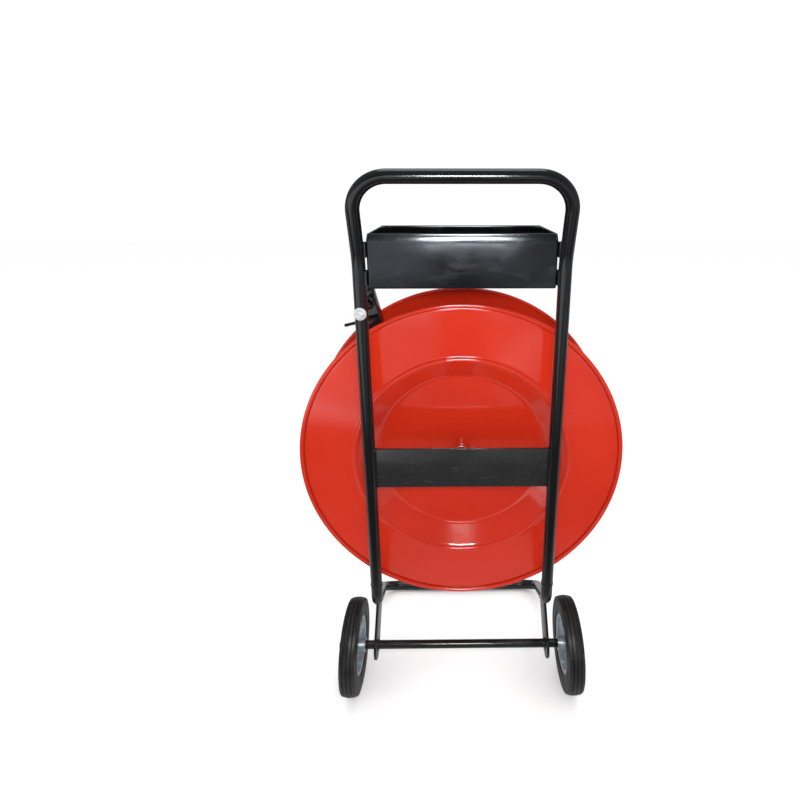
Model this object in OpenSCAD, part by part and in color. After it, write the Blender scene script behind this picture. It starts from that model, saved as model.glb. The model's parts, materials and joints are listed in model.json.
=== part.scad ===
// Two-wheeled strapping reel cart: a leaning tube frame with a bow handle, a tool tray, a two-disc reel on a
// spindle, a sprung brake arm, a splayed foot and two rubber-tyred wheels.
// Front is +Y, the operator stands behind at -Y, and X is the axle's direction. Z = 0 is the ground.

/* [Frame] */
// Outer diameter of the frame tube
tube_d = 22; // [20:0.5:25]
// Wall thickness of the frame tube
tube_wall = 2; // [1.5:0.25:3]
// Distance between the uprights, centre to centre
rail_gap = 335; // [315:1:360]
// Angle that the uprights lean back
lean = 5.5; // [3:0.5:8]
// Height of the spindle where it meets the crossbar
spindle_h = 513; // [507:1:519]

/* [Handle] */
// Height of the handle's bend above the spindle, along the uprights
handle_bend_u = 395; // [385:1:410]
// Angle that the handle bends back from the uprights
handle_tilt = 17.5; // [12:0.5:20]
// Length of the handle above its bend
handle_len = 137; // [120:1:150]
// Bend radius of the bow's corners
handle_r = 55; // [45:1:60]

/* [Foot] */
// Drop from the spindle to the elbow, along the uprights
elbow_drop = 278; // [270:1:284]
// How far the foot bar lies in front of the elbow
foot_reach = 317; // [300:1:335]
// Distance between the legs at the front bar, centre to centre
foot_spread = 416; // [360:1:430]
// Bend radius of the elbows and of the front corners
foot_r = 45; // [40:1:55]

/* [Wheels] */
// Diameter of the tyres
wheel_d = 178; // [172:1:184]
// Width of the tyres
tyre_w = 33; // [30:1:38]
// Distance between the wheels, centre to centre
track = 453; // [445:1:470]
// Diameter of the axle
axle_d = 16; // [14:0.5:17]
// How far the axle lies in front of the elbow
axle_ahead = 45.5; // [40:0.5:52]

/* [Reel] */
// Diameter of the two discs
disc_d = 624; // [610:1:630]
// Outside width of the reel over the rims
reel_w = 148.5; // [145:0.5:155]
// Distance from the crossbar's middle to the rear rim
reel_back = 49; // [47:0.5:52]
// Diameter of the raised ring round the dish, which the band's core fits over
ring_d = 412; // [404:1:420]
// Diameter of the dish's floor
floor_d = 326; // [310:1:340]
// Depth of the dish below the rim's face
dish_depth = 35; // [30:1:38]
// Diameter of the spindle
spindle_d = 20; // [18:0.5:22]

/* [Tray] */
// Width of the tray
tray_w = 309; // [305:1:310]
// Depth of the tray from back to front
tray_depth = 170; // [150:1:180]
// Height of the tray's walls
tray_h = 90; // [80:1:96]
// Height of the tray's floor above the spindle, along the uprights
tray_u = 349; // [346:1:356]

/* [Brake] */
// Height of the arm's pivot above the spindle, along the uprights
pivot_u = 310; // [306:1:314]
// Length of the arm below its pivot
arm_len = 140; // [130:1:145]
// Angle of the arm at rest, towards the reel
arm_rest = 14; // [12:0.5:16]

/* [Hidden] */
$fn = 64;
fit = 0.05;              // running clearance on the radius
gap = 0.3;               // side clearance between bodies
tube_r = tube_d / 2;
tube_bore = tube_d - 2 * tube_wall;
rail_x = rail_gap / 2;
rail_in = rail_x - tube_r;
joint_u = -240;          // where the uprights meet the foot tube
bend_r = 100;            // bend radius of the handle's bend
sheet = 1.6;             // thickness of the pressed sheet
draw_in = 0.1;           // the tube is this much thinner in its bends
lap = 0.5;               // length that a straight reaches into a bend

// heights and lengths worked out in the vertical plane
elbow_y = elbow_drop * sin(lean);
elbow_z = spindle_h - elbow_drop * cos(lean);
bar_y = elbow_y + foot_reach;
axle_y = elbow_y + axle_ahead;
axle_z = wheel_d / 2;
top_n = -handle_len * sin(handle_tilt);
top_u = handle_bend_u + handle_len * cos(handle_tilt);
top_y = top_n * cos(lean) - top_u * sin(lean);
frame_y = -(top_y + bar_y) / 2;     // puts the origin under the middle of the whole cart

// a point of the leaning frame, given as [across, out of the frame's plane, along the uprights]
function world(p) = [p.x, frame_y + p.y * cos(lean) - p.z * sin(lean),
                     spindle_h + p.y * sin(lean) + p.z * cos(lean)];
function unit(v) = v / norm(v);
function turn(p, q, r) = acos(unit(q - p) * unit(r - q));
function setback(p, q, r, rad) = rad * tan(turn(p, q, r) / 2);

leg_pts = [
    world([-rail_x, 0, joint_u]),
    world([-rail_x, 0, -elbow_drop]),
    [-foot_spread / 2, frame_y + bar_y, tube_r],
    [foot_spread / 2, frame_y + bar_y, tube_r],
    world([rail_x, 0, -elbow_drop]),
    world([rail_x, 0, joint_u])];
bow_pts = [
    [-rail_x, 0, joint_u],
    [-rail_x, 0, handle_bend_u],
    [-rail_x, top_n, top_u],
    [rail_x, top_n, top_u],
    [rail_x, 0, handle_bend_u],
    [rail_x, 0, joint_u]];

// wheels
hub_len = 40;
hub_d = 25;
bush_d = 20;
bush_len = 12;
rim_r = 55;              // radius of the rim's lips, where the tyre's face begins
rim_seat = 48;           // radius that the tyre sits on
rim_t = 1.5;
lip_z = 12;              // distance of a lip from the wheel's middle
rivet_r = 28;
rivet_d = 5;
washer_t = 2;
groove_w = 2;
groove_h = 2;
axle_end = track / 2 + hub_len / 2 + 12;
pin_x = axle_end - 5;
pin_d = 3.2;
plate_t = 5;
plate_w = 54;

// crossbar and spindle
bar_lo = -22;            // lower and upper edge of the crossbar
bar_hi = 56;
bar_t = 5;
boss_d = 30;
hub_od = 40;
hub_lo = reel_back + dish_depth - 5.5;
hub_hi = reel_back + reel_w - dish_depth + 8;
rear_floor = reel_back + dish_depth;
front_floor = reel_back + reel_w - dish_depth;
flange_d = 110;
flange_t = 4;
hub_bolt_d = 8;
hub_bolt_r = 42;         // radius that the hub's bolts stand on
nut_t = 12;
spindle_end = hub_hi + 2 * gap + washer_t + nut_t + 9;

// brake arm
arm_n = 78;              // nearest face of the arm's sleeve
sleeve_len = 25;
sleeve_d = 18;
bolt_d = 8;
arm_x = sleeve_d / 2 - 1;     // left face of the arm's leg, right of its pivot
arm_w = 34;
arm_t = 3;
shoe_t = 12;

// --- placing ---

// the leaning frame: X across, Y out of the frame's plane, Z along the uprights, origin on the spindle
module leaned() {
    translate([0, frame_y, spindle_h]) rotate([lean, 0, 0]) children();
}

// stands children, built along +Z, on the spindle's axis at distance n from the crossbar's middle
module on_spindle(n = 0) {
    leaned() translate([0, n, 0]) rotate([-90, 0, 0]) children();
}

// the same on the brake arm's pivot axis
module on_pivot(n = 0) {
    leaned() translate([-rail_x, n, pivot_u]) rotate([-90, 0, 0]) children();
}

// builds children, made along +Z, along the axle; side is -1 for left and 1 for right
module on_axle(side) {
    translate([0, frame_y + axle_y, axle_z]) rotate([0, side * 90, 0]) children();
}

// moves children from their own axes ex, ey, ez to the place c
module placed(ex, ey, ez, c) {
    multmatrix([[ex.x, ey.x, ez.x, c.x], [ex.y, ey.y, ez.y, c.y], [ex.z, ey.z, ez.z, c.z], [0, 0, 0, 1]])
        children();
}

// --- stock shapes ---

module ring(d_out, d_in, h) {
    difference() {
        cylinder(d = d_out, h = h);
        translate([0, 0, -1]) cylinder(d = d_in, h = h + 2);
    }
}

// a straight bar from p to q
module straight(p, q, d) {
    ez = unit(q - p);
    ex = unit(cross(abs(ez.z) < 0.9 ? [0, 0, 1] : [0, 1, 0], ez));
    placed(ex, cross(ez, ex), ez, p) cylinder(d = d, h = norm(q - p));
}

// a bend of radius rad at q, on the way from p to r
module bend(p, q, r, rad, d) {
    a = unit(q - p);
    b = unit(r - q);
    m = unit(b - a * (a * b));
    start = q - a * setback(p, q, r, rad);
    placed(-m, a, cross(-m, a), start + rad * m) rotate_extrude(angle = turn(p, q, r))
        translate([rad, 0]) circle(d = d - draw_in);
}

// a round bar through pts, bent to radii[i] at each inner point i; ends is the extra length at both ends
module bent_bar(pts, radii, d, ends = 0) {
    last = len(pts) - 1;
    back = [for (i = [0:last]) i == 0 || i == last ? 0 : setback(pts[i - 1], pts[i], pts[i + 1], radii[i])];
    for (i = [0:last - 1]) {
        v = unit(pts[i + 1] - pts[i]);
        from = i == 0 ? -ends : back[i] - lap;
        to = i + 1 == last ? -ends : back[i + 1] - lap;
        straight(pts[i] + v * from, pts[i + 1] - v * to, d);
    }
    for (i = [1:last - 1]) {
        bend(pts[i - 1], pts[i], pts[i + 1], radii[i], d);
    }
}

module hexagon(af, h) {
    cylinder(r = af / sqrt(3), h = h, $fn = 6);
}

// --- frame ---

module bow(d, ends = 0) {
    leaned() bent_bar(bow_pts, [0, bend_r, handle_r, handle_r, bend_r, 0], d, ends);
}

module legs(d, ends = 0) {
    bent_bar(leg_pts, [0, foot_r, foot_r, foot_r, foot_r, 0], d, ends);
}

module handle_tube() {
    color("#161616") difference() {
        bow(tube_d);
        bow(tube_bore, 1);
        on_pivot(-tube_d) cylinder(d = bolt_d, h = 2 * tube_d);
    }
}

module foot_tube() {
    color("#161616") difference() {
        legs(tube_d);
        legs(tube_bore, 1);
    }
}

module crossbar() {
    color("#161616") difference() {
        leaned() translate([-rail_x, -bar_t / 2, bar_lo]) cube([rail_gap, bar_t, bar_hi - bar_lo]);
        for (side = [-1, 1])
            leaned() translate([side * rail_x, 0, bar_lo - 5]) cylinder(d = tube_d, h = bar_hi - bar_lo + 10);
    }
}

module spindle() {
    color("#8a8d90") on_spindle(bar_t / 2) difference() {
        cylinder(d = spindle_d, h = spindle_end - bar_t / 2);
        translate([0, 0, spindle_end - bar_t / 2 - 5]) rotate([0, 90, 0])
            cylinder(d = 4, h = 40, center = true);
    }
}

module spindle_boss() {
    color("#161616") on_spindle(bar_t / 2) ring(boss_d, spindle_d, hub_lo - gap - washer_t - bar_t / 2);
}

module spindle_washers() {
    color("#c4c8cc") {
        on_spindle(hub_lo - gap - washer_t) ring(boss_d, spindle_d, washer_t);
        on_spindle(hub_hi + gap) ring(hub_od, spindle_d, washer_t);
    }
}

module spindle_nut() {
    color("#c4c8cc") on_spindle(hub_hi + gap + washer_t) difference() {
        hexagon(30, nut_t);
        translate([0, 0, -1]) cylinder(d = spindle_d, h = nut_t + 2);
    }
}

module spindle_split_pin() {
    color("#c4c8cc") on_spindle(spindle_end - 5) rotate([0, 90, 0])
        cylinder(d = 4, h = spindle_d + 12, center = true);
}

module left_axle_plate() {
    axle_plate(-1);
}

module right_axle_plate() {
    axle_plate(1);
}

// how far out the leg is where the axle's plate meets it
function plate_x(leg_angle) =
    let (along = axle_ahead * cos(leg_angle) + (elbow_z - axle_z) * sin(leg_angle))
    rail_x + (foot_spread / 2 - rail_x) * along * cos(leg_angle) / foot_reach;

// a flat from the leg down to the axle, square to the leg, with a round lower end
module axle_plate(side) {
    leg_angle = atan2(elbow_z - tube_r, foot_reach);
    reach = (elbow_z - axle_z) * cos(leg_angle) - axle_ahead * sin(leg_angle);
    x = plate_x(leg_angle);
    color("#1b1b1b") difference() {
        translate([side * x - plate_t / 2, frame_y + axle_y, axle_z]) rotate([-leg_angle, 0, 0])
            rotate([90, 0, 90]) linear_extrude(plate_t) difference() {
                union() {
                    circle(d = plate_w);
                    translate([-plate_w / 2, 0]) square([plate_w, reach]);
                }
                circle(d = axle_d);
            }
        legs(tube_d);
    }
}

module axle() {
    color("#161616") difference() {
        on_axle(1) translate([0, 0, -axle_end]) cylinder(d = axle_d, h = 2 * axle_end);
        for (side = [-1, 1]) {
            on_axle(side) translate([0, 0, pin_x]) rotate([90, 0, 0])
                cylinder(d = pin_d, h = 30, center = true);
        }
    }
}

module axle_washers() {
    color("#c4c8cc") for (side = [-1, 1], z = [track / 2 - hub_len / 2 - gap - washer_t,
                                               track / 2 + hub_len / 2 + gap])
        on_axle(side) translate([0, 0, z]) ring(hub_d + 2, axle_d, washer_t);
}

module axle_split_pins() {
    color("#c4c8cc") for (side = [-1, 1]) {
        on_axle(side) translate([0, 0, pin_x]) rotate([90, 0, 0])
            cylinder(d = pin_d, h = axle_d + 9, center = true);
    }
}

// --- tray ---

// a bent sheet box, open at the top, its upper edge folded down inside
module tray() {
    hem = 8;
    color("#161616") leaned() translate([-tray_w / 2, 0, tray_u]) difference() {
        cube([tray_w, tray_depth, tray_h]);
        translate([sheet, sheet, sheet])
            cube([tray_w - 2 * sheet, tray_depth - 2 * sheet, tray_h - sheet - hem]);
        translate([2 * sheet, 2 * sheet, tray_h - 2 * hem])
            cube([tray_w - 4 * sheet, tray_depth - 4 * sheet, 3 * hem]);
    }
}

module tray_brackets() {
    color("#161616") difference() {
        for (side = [-1, 1], u = [tray_u + 6, tray_u + 52]) leaned()
            translate([side > 0 ? tray_w / 2 : -rail_x, -6, u]) cube([rail_x - tray_w / 2, 20, 24]);
        bow(tube_d);
    }
}

// --- reel ---

// half section of a disc: radius across, depth below the rim's face upwards
module disc_section() {
    rim_bead = 4;
    web = 5;
    ring_r = ring_d / 2;
    ring_bead = 5;
    ring_in = ring_r - ring_bead;
    ring_out = ring_r + ring_bead - sheet;
    floor_r = floor_d / 2;
    cone_t = 1.2 * sheet;
    // rolled rim
    translate([disc_d / 2 - rim_bead, rim_bead]) difference() {
        circle(r = rim_bead);
        circle(r = rim_bead - sheet);
    }
    // flat web
    translate([ring_out, web]) square([disc_d / 2 - 2 * rim_bead + 1.2 - ring_out, sheet]);
    // raised ring
    translate([ring_r, web + sheet]) intersection() {
        difference() {
            circle(r = ring_bead);
            circle(r = ring_bead - sheet);
        }
        translate([-2 * ring_bead, -2 * ring_bead]) square([4 * ring_bead, 2 * ring_bead]);
    }
    // cone and floor
    polygon([[ring_in, web], [ring_in + sheet, web], [ring_in + sheet, web + sheet + 1],
             [floor_r + cone_t, dish_depth + sheet], [hub_od / 2, dish_depth + sheet],
             [hub_od / 2, dish_depth], [floor_r, dish_depth], [ring_in, web + sheet - 1]]);
}

module rear_disc() {
    color("#dc3c26") on_spindle(reel_back) rotate_extrude($fn = 128) disc_section();
}

module front_disc() {
    color("#dc3c26") difference() {
        on_spindle(reel_back + reel_w) mirror([0, 0, 1]) rotate_extrude($fn = 128) disc_section();
        on_hub_bolts(front_floor - 5) cylinder(d = hub_bolt_d + 0.6, h = 10);
    }
}

module hub_tube() {
    color("#dc3c26") on_spindle(hub_lo) ring(hub_od, 26, hub_hi - hub_lo);
}

module rear_hub_flange() {
    color("#dc3c26") on_spindle(rear_floor + sheet) ring(flange_d, hub_od, flange_t);
}

module front_hub_flange() {
    color("#dc3c26") difference() {
        on_spindle(front_floor - sheet - flange_t) ring(flange_d, hub_od, flange_t);
        on_hub_bolts(front_floor - sheet - flange_t - 1) cylinder(d = hub_bolt_d + 0.6, h = flange_t + 2);
    }
}

module hub_bushes() {
    color("#b08d4a") for (n = [hub_lo, hub_hi - 20]) on_spindle(n) ring(26, spindle_d + 2 * fit, 20);
}

// four bolts hold the front disc on the hub's front flange, heads outside
module on_hub_bolts(n) {
    for (a = [45:90:315]) {
        on_spindle(n) rotate(a) translate([hub_bolt_r, 0, 0]) children();
    }
}

module hub_bolts() {
    stack = sheet + flange_t + 10;
    color("#c4c8cc") {
        on_hub_bolts(front_floor) hexagon(13, 5.3);
        on_hub_bolts(front_floor - stack) cylinder(d = hub_bolt_d, h = stack);
    }
}

module hub_nuts() {
    color("#c4c8cc") on_hub_bolts(front_floor - sheet - flange_t - 6.5) difference() {
        hexagon(13, 6.5);
        translate([0, 0, -1]) cylinder(d = hub_bolt_d, h = 9);
    }
}

// --- brake ---

module pivot_bolt() {
    shank = arm_n + 2 * gap + sleeve_len + washer_t;
    color("#c4c8cc") {
        on_pivot(-tube_r - washer_t - 11) cylinder(d = bolt_d, h = shank + tube_r + washer_t + 11);
        on_pivot(shank) hexagon(13, 5.5);
    }
}

module pivot_washers() {
    color("#c4c8cc") {
        on_pivot(-tube_r - washer_t) ring(21.5, bolt_d, washer_t);
        on_pivot(arm_n + 2 * gap + sleeve_len) ring(18, bolt_d, washer_t);
    }
}

module pivot_nut() {
    color("#c4c8cc") on_pivot(-tube_r - washer_t - 7) difference() {
        hexagon(14, 7);
        translate([0, 0, -1]) cylinder(d = bolt_d, h = 9);
    }
}

module pivot_spacer() {
    color("#1b1b1b") difference() {
        on_pivot(0) ring(14, bolt_d, arm_n);
        leaned() translate([-rail_x, 0, pivot_u - 20]) cylinder(d = tube_d, h = 40);
    }
}

module arm_stop() {
    color("#1b1b1b") difference() {
        leaned() translate([-rail_x - 1.7, 0, pivot_u + 22]) rotate([-90, 0, 0])
            cylinder(d = 8, h = arm_n + 12);
        leaned() translate([-rail_x, 0, pivot_u]) cylinder(d = tube_d, h = 40);
    }
}

// the arm's own frame: origin on the pivot, -Z along the arm, Y along the pivot
module on_arm() {
    leaned() translate([-rail_x, arm_n + gap, pivot_u]) rotate([0, -arm_rest, 0]) children();
}

module brake_arm() {
    tail = 30;
    color("#1b1b1b") on_arm() difference() {
        union() {
            translate([arm_x, 0, -arm_len]) cube([arm_t, sleeve_len, arm_len + tail]);
            translate([arm_x + arm_t - arm_w, sleeve_len - arm_t, -arm_len])
                cube([arm_w, arm_t, arm_len + tail]);
        }
        translate([0, -1, 0]) rotate([-90, 0, 0]) cylinder(d = sleeve_d, h = sleeve_len + 2);
    }
}

module arm_sleeve() {
    color("#1b1b1b") on_arm() rotate([-90, 0, 0]) ring(sleeve_d, bolt_d + 2 * fit, sleeve_len);
}

module brake_shoe() {
    color("#2b2622") on_arm() translate([arm_x + arm_t, 0, -arm_len])
        cube([shoe_t, sleeve_len - arm_t, 44]);
}

module shoe_rivets() {
    color("#c4c8cc") for (z = [-arm_len + 11, -arm_len + 33])
        on_arm() translate([arm_x, (sleeve_len - arm_t) / 2, z]) rotate([0, -90, 0])
            cylinder(d1 = 8, d2 = 5, h = 2);
}

module release_rod() {
    color("#161616") on_arm() difference() {
        translate([arm_x + 2, sleeve_len / 2, -35.5]) rotate([0, -90, 0]) cylinder(d = 6, h = 71);
        translate([arm_x, 0, -arm_len]) cube([20, sleeve_len, arm_len]);
    }
}

// torsion spring round the spacer: 4 turns of round wire, one ring of points for each step
module brake_spring() {
    wire_r = 1.2;
    coil_r = 10.5;
    turns = 4;
    steps = 16 * turns;
    sides = 8;
    rise = 14;
    start_n = arm_n - rise - 4;
    function spine(i) = let (a = 360 * turns * i / steps)
        [coil_r * cos(a), coil_r * sin(a), rise * i / steps];
    pts = [for (i = [0:steps], k = [0:sides - 1])
        let (a = 360 * turns * i / steps, b = 360 * k / sides)
        spine(i) + wire_r * cos(b) * [cos(a), sin(a), 0] + [0, 0, wire_r * sin(b)]];
    sides_faces = [for (i = [0:steps - 1], k = [0:sides - 1])
        [i * sides + k, (i + 1) * sides + k, (i + 1) * sides + (k + 1) % sides, i * sides + (k + 1) % sides]];
    color("#c4c8cc") on_pivot(start_n) polyhedron(points = pts, faces = concat(sides_faces,
        [[for (k = [0:sides - 1]) k]], [[for (k = [sides - 1:-1:0]) steps * sides + k]]));
}

// --- wheels ---

module on_wheel(side) {
    on_axle(side) translate([0, 0, track / 2]) children();
}

module tyre(side) {
    half = tyre_w / 2;
    crown = 42;
    grooves = [-7, 0, 7];
    color("#1a1a1a") on_wheel(side) rotate_extrude($fn = 96) difference() {
        intersection() {
            polygon([[rim_seat, -lip_z], [rim_r, -lip_z], [rim_r, -lip_z - rim_t], [rim_r + 3, -half],
                     [wheel_d / 2, -half], [wheel_d / 2, half], [rim_r + 3, half],
                     [rim_r, lip_z + rim_t], [rim_r, lip_z], [rim_seat, lip_z]]);
            translate([wheel_d / 2 - crown, 0]) circle(r = crown);
        }
        for (z = grooves) {
            translate([wheel_d / 2 - groove_h - abs(z) / 12, z - groove_w / 2])
                square([groove_h + 2, groove_w]);
        }
    }
}

module on_rivets(side) {
    for (a = [0:60:300]) {
        on_wheel(side) rotate(a) translate([rivet_r, 0, 0]) children();
    }
}

// one pressed half of the rim; face is -1 towards the frame and 1 away from it
module rim_half(side, face) {
    barrel = rim_seat - rim_t;
    color("#c4c8cc") difference() {
        on_wheel(side) mirror([0, 0, face < 0 ? 1 : 0]) rotate_extrude($fn = 96)
            polygon([[hub_d / 2, 0], [rim_seat, 0], [rim_seat, lip_z], [rim_r, lip_z],
                     [rim_r, lip_z + rim_t], [barrel, lip_z + rim_t], [barrel, rim_t], [hub_d / 2, rim_t]]);
        on_rivets(side) cylinder(d = rivet_d, h = 10, center = true);
    }
}

module wheel_hub(side) {
    color("#c4c8cc") on_axle(side) translate([0, 0, track / 2 - hub_len / 2]) ring(hub_d, bush_d, hub_len);
}

module wheel_bushes(side) {
    color("#e4e2da") for (z = [track / 2 - hub_len / 2, track / 2 + hub_len / 2 - bush_len])
        on_axle(side) translate([0, 0, z]) ring(bush_d, axle_d + 2 * fit, bush_len);
}

module rim_rivets(side) {
    head = 2;
    color("#c4c8cc") {
        on_rivets(side) cylinder(d = rivet_d, h = 2 * rim_t, center = true);
        on_rivets(side) translate([0, 0, rim_t]) cylinder(d1 = 2 * rivet_d, d2 = rivet_d, h = head);
        on_rivets(side) translate([0, 0, -rim_t - head]) cylinder(d1 = rivet_d, d2 = 2 * rivet_d, h = head);
    }
}

module left_tyre() { tyre(-1); }
module left_inner_rim() { rim_half(-1, -1); }
module left_outer_rim() { rim_half(-1, 1); }
module left_hub() { wheel_hub(-1); }
module left_bushes() { wheel_bushes(-1); }
module left_rim_rivets() { rim_rivets(-1); }
module right_tyre() { tyre(1); }
module right_inner_rim() { rim_half(1, -1); }
module right_outer_rim() { rim_half(1, 1); }
module right_hub() { wheel_hub(1); }
module right_bushes() { wheel_bushes(1); }
module right_rim_rivets() { rim_rivets(1); }

handle_tube();
foot_tube();
crossbar();
spindle();
spindle_boss();
spindle_washers();
spindle_nut();
spindle_split_pin();
tray();
tray_brackets();
left_axle_plate();
right_axle_plate();
axle();
axle_washers();
axle_split_pins();
pivot_bolt();
pivot_washers();
pivot_nut();
pivot_spacer();
arm_stop();
rear_disc();
front_disc();
hub_tube();
rear_hub_flange();
front_hub_flange();
hub_bushes();
hub_bolts();
hub_nuts();
brake_arm();
arm_sleeve();
brake_shoe();
shoe_rivets();
release_rod();
brake_spring();
left_tyre();
left_inner_rim();
left_outer_rim();
left_hub();
left_bushes();
left_rim_rivets();
right_tyre();
right_inner_rim();
right_outer_rim();
right_hub();
right_bushes();
right_rim_rivets();
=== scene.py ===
import json
import math

import bmesh
import bpy
import numpy as np
from mathutils import Matrix, Vector


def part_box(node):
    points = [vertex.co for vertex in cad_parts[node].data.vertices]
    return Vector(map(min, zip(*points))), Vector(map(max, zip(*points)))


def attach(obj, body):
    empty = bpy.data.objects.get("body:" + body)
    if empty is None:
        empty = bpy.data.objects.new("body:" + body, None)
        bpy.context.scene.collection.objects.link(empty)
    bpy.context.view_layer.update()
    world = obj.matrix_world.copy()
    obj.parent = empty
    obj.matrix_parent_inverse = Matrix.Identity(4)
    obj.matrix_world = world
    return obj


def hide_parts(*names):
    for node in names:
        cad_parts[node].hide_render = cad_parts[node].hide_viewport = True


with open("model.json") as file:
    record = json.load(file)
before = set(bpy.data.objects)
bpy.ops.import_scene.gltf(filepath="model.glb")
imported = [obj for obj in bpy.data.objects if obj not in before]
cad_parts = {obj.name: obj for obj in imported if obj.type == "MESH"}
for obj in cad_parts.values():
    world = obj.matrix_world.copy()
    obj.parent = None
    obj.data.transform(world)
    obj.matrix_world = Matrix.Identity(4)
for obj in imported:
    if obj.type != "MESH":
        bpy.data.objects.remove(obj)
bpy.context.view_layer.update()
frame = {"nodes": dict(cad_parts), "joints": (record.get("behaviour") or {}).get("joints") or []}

scene = bpy.context.scene

# --- Studio: a pale floor under a white tent, lit softly from the operator's side and from above.
# The camera stands behind the cart at an operator's chest height and looks forwards and a little down.

EYE = Vector((-0.0119, -0.94324, 0.94867))
SIGHT = Vector((0.0101, 0.98521, -0.17108)).normalized()
TO_RIGHT = Vector((0.99995, -0.01042, -0.00101)).normalized()
LENS_MM = 21.6
SENSOR_MM = 36.0
SHIFT = (-0.075, -0.1028)
CLIP = (0.01, 300.0)
FLOOR_HALF = 60.0

camera_data = bpy.data.cameras.new("camera")
camera_data.sensor_width = SENSOR_MM
camera_data.lens = LENS_MM
camera_data.shift_x, camera_data.shift_y = SHIFT
camera_data.clip_start, camera_data.clip_end = CLIP
camera = bpy.data.objects.new("camera", camera_data)
scene.collection.objects.link(camera)
up = TO_RIGHT.cross(SIGHT).normalized()
turn = Matrix((TO_RIGHT, up, -SIGHT)).transposed()
camera.matrix_world = Matrix.Translation(EYE) @ turn.to_4x4()
scene.camera = camera
scene.view_settings.view_transform = "Standard"


def soft_light(name, place, aim, size, watts, mirrored=False):
    """A flat lamp of the given size that faces the point aim. Glossy paint shows it only if mirrored."""
    data = bpy.data.lights.new(name, "AREA")
    data.shape = "RECTANGLE"
    data.size, data.size_y = size
    data.energy = watts
    lamp = bpy.data.objects.new(name, data)
    lamp.visible_glossy = mirrored
    scene.collection.objects.link(lamp)
    way = Vector(aim) - Vector(place)
    lamp.matrix_world = Matrix.Translation(place) @ way.to_track_quat("-Z", "Y").to_matrix().to_4x4()
    return lamp


soft_light("flash", EYE + Vector((0.02, 0.0, 0.05)), (0.0, -0.1, 0.6), (0.26, 0.10), 5.5, mirrored=True)
soft_light("low_strip", (0.03, -1.6, 0.665), (0.0, -0.1, 0.9), (0.36, 0.05), 1.1, mirrored=True)
soft_light("left_lamp", (-2.3, -1.5, 1.6), (0.0, 0.0, 0.5), (0.7, 1.6), 9.0)
soft_light("right_lamp", (2.5, -0.9, 1.9), (0.0, 0.0, 0.5), (0.5, 1.6), 6.0)
soft_light("top_lamp", (0.0, 0.2, 3.0), (0.0, 0.0, 0.4), (1.6, 1.6), 14.0, mirrored=True)
soft_light("back_lamp", (0.9, 2.6, 1.9), (0.0, 0.0, 0.5), (1.2, 1.0), 12.0)


class Wire:
    """One output of a node. The operators add Math nodes, on either side of a number."""

    def __init__(self, nodes, socket):
        self.nodes = nodes
        self.socket = socket

    def math(self, operation, first, second):
        return self.nodes.node("ShaderNodeMath", {"operation": operation}, {0: first, 1: second})

    def __add__(self, other):
        return self.math("ADD", self, other)

    def __radd__(self, other):
        return self.math("ADD", other, self)

    def __sub__(self, other):
        return self.math("SUBTRACT", self, other)

    def __rsub__(self, other):
        return self.math("SUBTRACT", other, self)

    def __mul__(self, other):
        return self.math("MULTIPLY", self, other)

    def __rmul__(self, other):
        return self.math("MULTIPLY", other, self)

    def __pow__(self, other):
        return self.math("POWER", self, other)

    def __abs__(self):
        return self.nodes.node("ShaderNodeMath", {"operation": "ABSOLUTE"}, {0: self})

    def band(self, low, high):
        """0 below low, 1 above high, and a straight ramp between."""
        return self.nodes.node("ShaderNodeMapRange", {"clamp": True}, {0: self, 1: low, 2: high})


class Nodes:
    """The nodes of a material or of the world."""

    def __init__(self, tree):
        self.tree = tree

    def node(self, kind, settings=None, values=None, out=0):
        """Adds a node of a kind, sets its settings, then its sockets to values or to other nodes' outputs."""
        made = self.tree.nodes.new(kind)
        for name, value in (settings or {}).items():
            setattr(made, name, value)
        for socket, value in (values or {}).items():
            if isinstance(value, Wire):
                self.tree.links.new(value.socket, made.inputs[socket])
            else:
                made.inputs[socket].default_value = value
        return Wire(self, made.outputs[out]) if made.outputs else None

    def mix(self, amount, first, second):
        """The colour first where amount is 0, and second where it is 1."""
        return self.node("ShaderNodeMix", {"data_type": "RGBA"}, {0: amount, 6: first, 7: second}, out=2)

    def part(self, place, axis):
        """One of the three numbers of a place: X, Y or Z."""
        return self.node("ShaderNodeSeparateXYZ", None, {0: place}, out=axis)


class Paint(Nodes):
    """One material: a Principled shader whose constants are set on its sockets, and nodes for the rest."""

    def __init__(self, name, **constants):
        self.material = bpy.data.materials.new(name)
        self.material.use_nodes = True
        super().__init__(self.material.node_tree)
        self.shader = self.tree.nodes["Principled BSDF"]
        for socket, value in constants.items():
            self.shader.inputs[socket.replace("_", " ")].default_value = value
        self.place = self.node("ShaderNodeTexCoord", out="Object")

    def noise(self, scale, detail=2.0, rough=0.5, stretch=None):
        """Cloudy noise from 0 to 1, with scale lumps to the metre, drawn out along the axes by stretch."""
        place = self.place
        if stretch is not None:
            place = self.node("ShaderNodeMapping", None, {"Vector": place, "Scale": stretch})
        return self.node("ShaderNodeTexNoise", None,
                         {"Vector": place, "Scale": scale, "Detail": detail, "Roughness": rough})

    def bump(self, height, depth, below=None):
        """Height from 0 to 1 as relief of the given depth in metres, on top of the relief below."""
        values = {"Height": height, "Distance": depth, "Strength": 1.0}
        if below is not None:
            values["Normal"] = below
        return self.node("ShaderNodeBump", None, values)

    def set(self, **links):
        """Links varying values to the shader's sockets, and gives back the finished material."""
        for socket, wire in links.items():
            self.tree.links.new(wire.socket, self.shader.inputs[socket.replace("_", " ")])
        return self.material


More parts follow.
